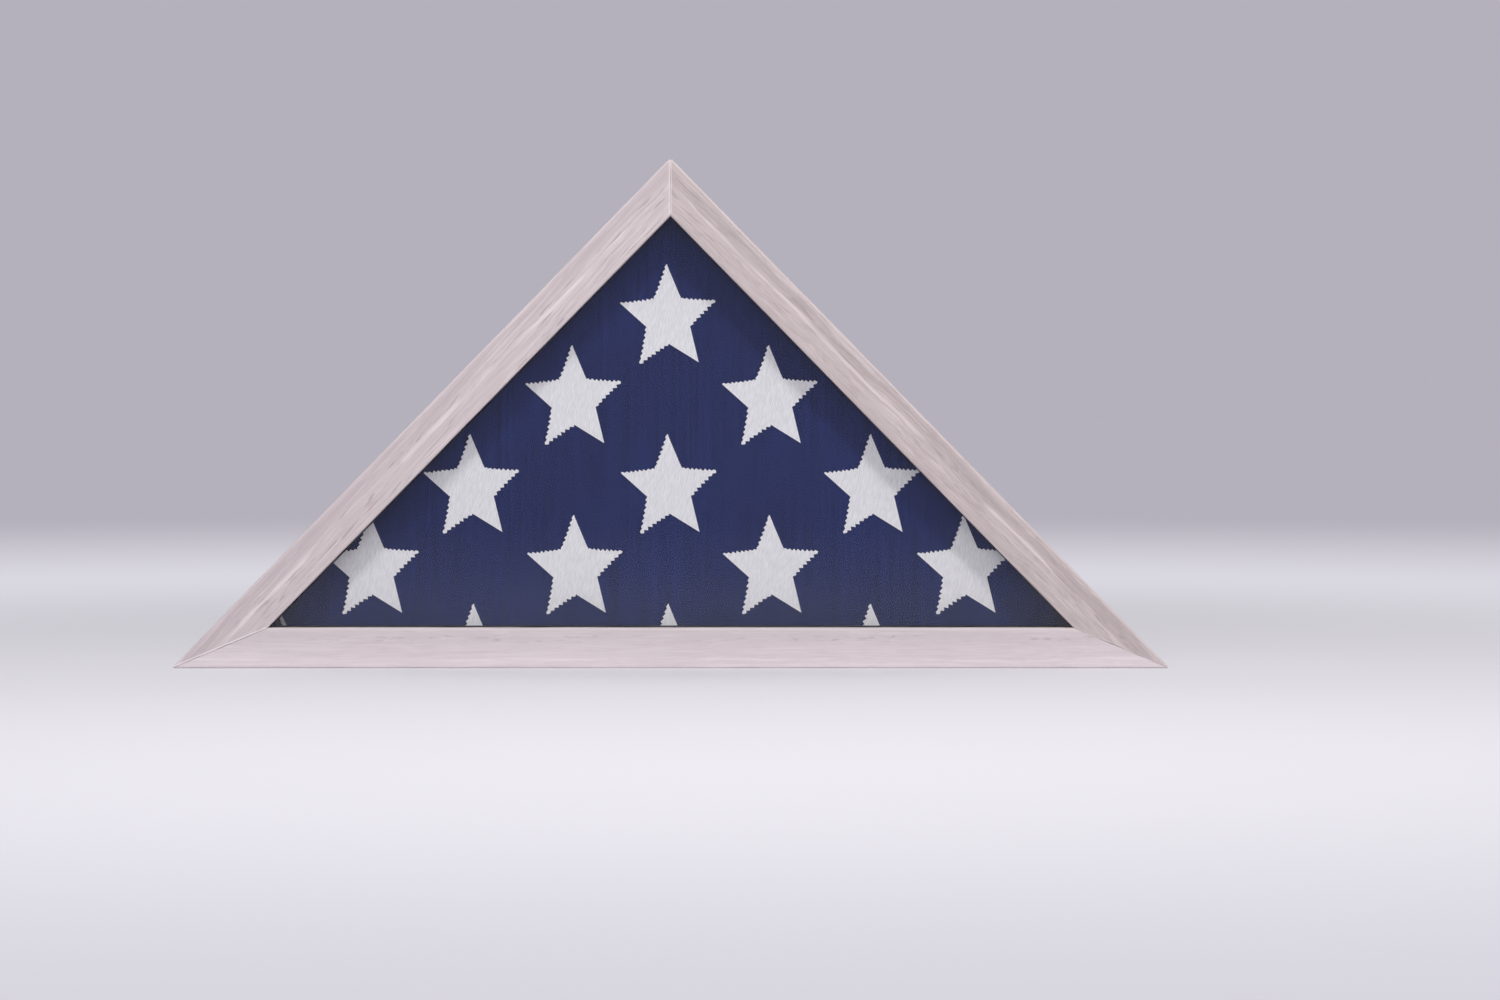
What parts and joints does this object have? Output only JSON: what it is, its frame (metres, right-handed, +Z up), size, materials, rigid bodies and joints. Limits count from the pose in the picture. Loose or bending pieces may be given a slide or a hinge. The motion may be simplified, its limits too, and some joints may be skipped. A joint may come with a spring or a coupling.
{
  "type": "folded flag display case",
  "caption": "Triangular shadow box of mitred whitewashed wood, glazed in front, holding a folded cotton flag, with a lift-out back panel.",
  "frame": {"origin": "on the surface the case stands on, under the middle of its width and of its whole depth", "axes": "+X to the right seen from the front, +Y from the glazed front to the back, +Z up"},
  "size_m": [0.666, 0.095, 0.34],
  "materials": {
    "whitewashed_wood": "matte, limed grain",
    "clear_glazing": "clear, polished",
    "black_spacer": "matte black",
    "navy_cotton": "plain weave",
    "white_embroidery": "satin stitch",
    "dark_hardboard": "smooth, painted dark",
    "black_felt": "felt",
    "nickel_steel": "nickel plated",
    "black_rubber": "matte"
  },
  "bodies": {
    "case": {"left_rail": "whitewashed_wood", "right_rail": "whitewashed_wood", "base_rail": "whitewashed_wood", "corner_nails": "nickel_steel", "glazing_pane": "clear_glazing", "left_spacer": "black_spacer", "right_spacer": "black_spacer", "base_spacer": "black_spacer", "button_screws": "nickel_steel", "left_hanger_strap": "nickel_steel", "right_hanger_strap": "nickel_steel", "hanger_screws": "nickel_steel", "wall_bumpers": "black_rubber"},
    "flag": {"folded_flag": "navy_cotton", "flag_stars": "white_embroidery"},
    "back": {"back_panel": "dark_hardboard", "panel_lining": "black_felt"},
    "left_low_button": {"left_low_button": "nickel_steel"},
    "left_high_button": {"left_high_button": "nickel_steel"},
    "left_base_button": {"left_base_button": "nickel_steel"},
    "right_low_button": {"right_low_button": "nickel_steel"},
    "right_high_button": {"right_high_button": "nickel_steel"},
    "right_base_button": {"right_base_button": "nickel_steel"},
    "left_hanger_ring": {"left_hanger_ring": "nickel_steel"},
    "right_hanger_ring": {"right_hanger_ring": "nickel_steel"}
  },
  "joints": [
    {"name": "flag_slide", "type": "slide", "parent": "case", "child": "flag", "axis": [0, 1, 0], "range_m": [0, 0.16]},
    {"name": "back_panel_slide", "type": "slide", "parent": "flag", "child": "back", "axis": [0, 1, 0], "range_m": [0, 0.12]},
    {"name": "left_low_button_turn", "type": "hinge", "parent": "case", "child": "left_low_button", "pos_m": [-0.25139, 0.04318, 0.07404], "axis": [0, -1, 0], "continuous": true},
    {"name": "left_high_button_turn", "type": "hinge", "parent": "case", "child": "left_high_button", "pos_m": [-0.1283, 0.04318, 0.19971], "axis": [0, -1, 0], "continuous": true},
    {"name": "left_base_button_turn", "type": "hinge", "parent": "case", "child": "left_base_button", "pos_m": [-0.168, 0.04318, 0.0065], "axis": [0, -1, 0], "continuous": true},
    {"name": "right_low_button_turn", "type": "hinge", "parent": "case", "child": "right_low_button", "pos_m": [0.25139, 0.04318, 0.07404], "axis": [0, 1, 0], "continuous": true},
    {"name": "right_high_button_turn", "type": "hinge", "parent": "case", "child": "right_high_button", "pos_m": [0.1283, 0.04318, 0.19971], "axis": [0, 1, 0], "continuous": true},
    {"name": "right_base_button_turn", "type": "hinge", "parent": "case", "child": "right_base_button", "pos_m": [0.168, 0.04318, 0.0065], "axis": [0, 1, 0], "continuous": true},
    {"name": "left_hanger_ring_swing", "type": "hinge", "parent": "case", "child": "left_hanger_ring", "pos_m": [-0.06883, 0.0449, 0.26044], "axis": [0.7144, 0, -0.6997], "range_deg": [0, 180]},
    {"name": "right_hanger_ring_swing", "type": "hinge", "parent": "case", "child": "right_hanger_ring", "pos_m": [0.06883, 0.0449, 0.26044], "axis": [0.7144, 0, 0.6997], "range_deg": [0, 180]}
  ]
}
